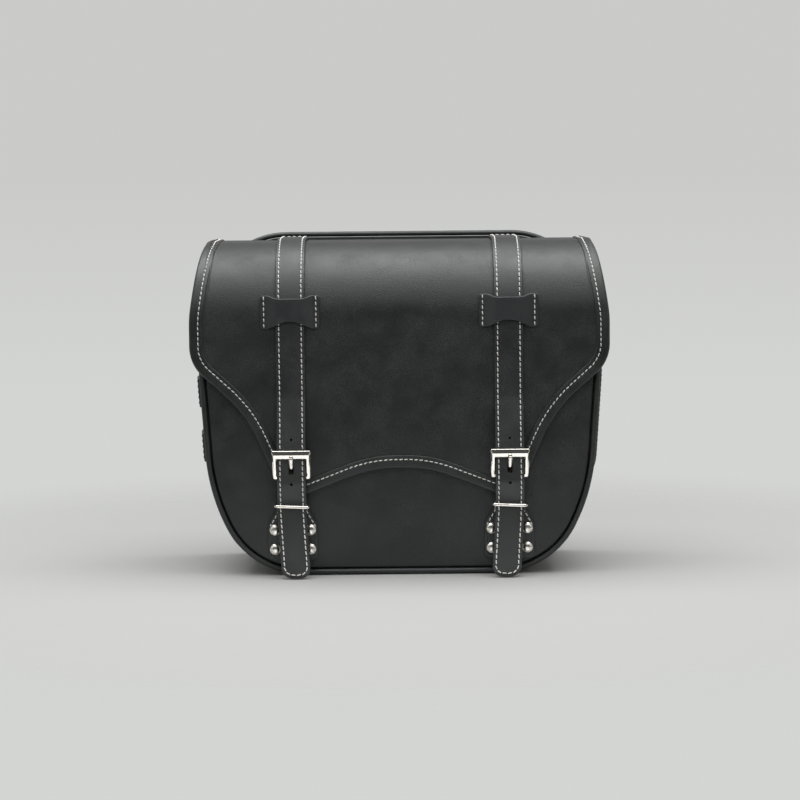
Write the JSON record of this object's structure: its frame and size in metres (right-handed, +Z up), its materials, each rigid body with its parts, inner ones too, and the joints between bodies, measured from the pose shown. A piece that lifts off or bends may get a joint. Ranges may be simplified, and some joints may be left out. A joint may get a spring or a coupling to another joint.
{
  "type": "saddlebag",
  "caption": "Motorcycle saddlebag of black leather with a fold-over lid, two buckled straps, piped seams and a stiff back panel for mounting.",
  "frame": {"origin": "middle of the flat base, on the surface that the bag stands on", "axes": "+X across the bag to the right of its front, -Y out of the front, +Z up"},
  "size_m": [0.3656, 0.1629, 0.2955],
  "materials": {
    "body_leather": "smooth black semi-matt leather with a fine grain",
    "strap_leather": "smooth black strap leather, off-white stitching",
    "binding_leather": "thin folded black leather",
    "piping_leather": "black leather over a cord",
    "lid_suede": "dark suede backing",
    "lining_cloth": "woven dark lining",
    "board": "plain stiffener board",
    "nickel": "polished nickel plate"
  },
  "bodies": {
    "bag": {"gusset": "body_leather", "front_panel": "body_leather", "back_panel": "body_leather", "front_piping": "piping_leather", "back_piping": "piping_leather", "front_stiffener": "board", "back_stiffener": "board", "base_stiffener": "board", "lining": "lining_cloth", "mouth_binding_front": "binding_leather", "mouth_binding_left": "binding_leather", "mouth_binding_right": "binding_leather", "mounting_panel": "body_leather", "mounting_panel_roll": "piping_leather", "side_loop_upper": "strap_leather", "side_loop_lower": "strap_leather", "side_patch": "strap_leather", "buckle_base_left": "strap_leather", "rivet_left_1": "nickel", "rivet_left_2": "nickel", "rivet_left_3": "nickel", "rivet_left_4": "nickel", "press_stud_left": "nickel", "buckle_base_right": "strap_leather", "rivet_right_1": "nickel", "rivet_right_2": "nickel", "rivet_right_3": "nickel", "rivet_right_4": "nickel", "press_stud_right": "nickel"},
    "lid": {"lid": "body_leather", "lid_lining": "lid_suede", "lid_binding": "binding_leather", "strap_left": "strap_leather", "strap_loop_left": "strap_leather", "chape_left": "strap_leather", "stud_socket_left": "nickel", "strap_right": "strap_leather", "strap_loop_right": "strap_leather", "chape_right": "strap_leather", "stud_socket_right": "nickel"},
    "buckle_frame_left": {"buckle_frame_left": "nickel"},
    "buckle_tongue_left": {"buckle_tongue_left": "nickel"},
    "wire_keeper_left": {"wire_keeper_left": "nickel"},
    "buckle_frame_right": {"buckle_frame_right": "nickel"},
    "buckle_tongue_right": {"buckle_tongue_right": "nickel"},
    "wire_keeper_right": {"wire_keeper_right": "nickel"}
  },
  "joints": [
    {"name": "lid_hinge", "type": "hinge", "parent": "bag", "child": "lid", "pos_m": [0, 0.05, 0.2895], "axis": [-1, 0, 0], "range_deg": [0, 130]},
    {"name": "buckle_frame_left_swing", "type": "hinge", "parent": "lid", "child": "buckle_frame_left", "pos_m": [-0.0945, -0.0778, 0.087], "axis": [1, 0, 0], "range_deg": [0, 6]},
    {"name": "buckle_tongue_left_swing", "type": "hinge", "parent": "buckle_frame_left", "child": "buckle_tongue_left", "pos_m": [-0.0945, -0.0778, 0.087], "axis": [1, 0, 0], "range_deg": [0, 15]},
    {"name": "wire_keeper_left_slide", "type": "slide", "parent": "lid", "child": "wire_keeper_left", "axis": [0, 0, 1], "range_m": [-0.005, 0.004]},
    {"name": "buckle_frame_right_swing", "type": "hinge", "parent": "lid", "child": "buckle_frame_right", "pos_m": [0.0945, -0.0778, 0.087], "axis": [1, 0, 0], "range_deg": [0, 6]},
    {"name": "buckle_tongue_right_swing", "type": "hinge", "parent": "buckle_frame_right", "child": "buckle_tongue_right", "pos_m": [0.0945, -0.0778, 0.087], "axis": [1, 0, 0], "range_deg": [0, 15]},
    {"name": "wire_keeper_right_slide", "type": "slide", "parent": "lid", "child": "wire_keeper_right", "axis": [0, 0, 1], "range_m": [-0.005, 0.004]}
  ]
}
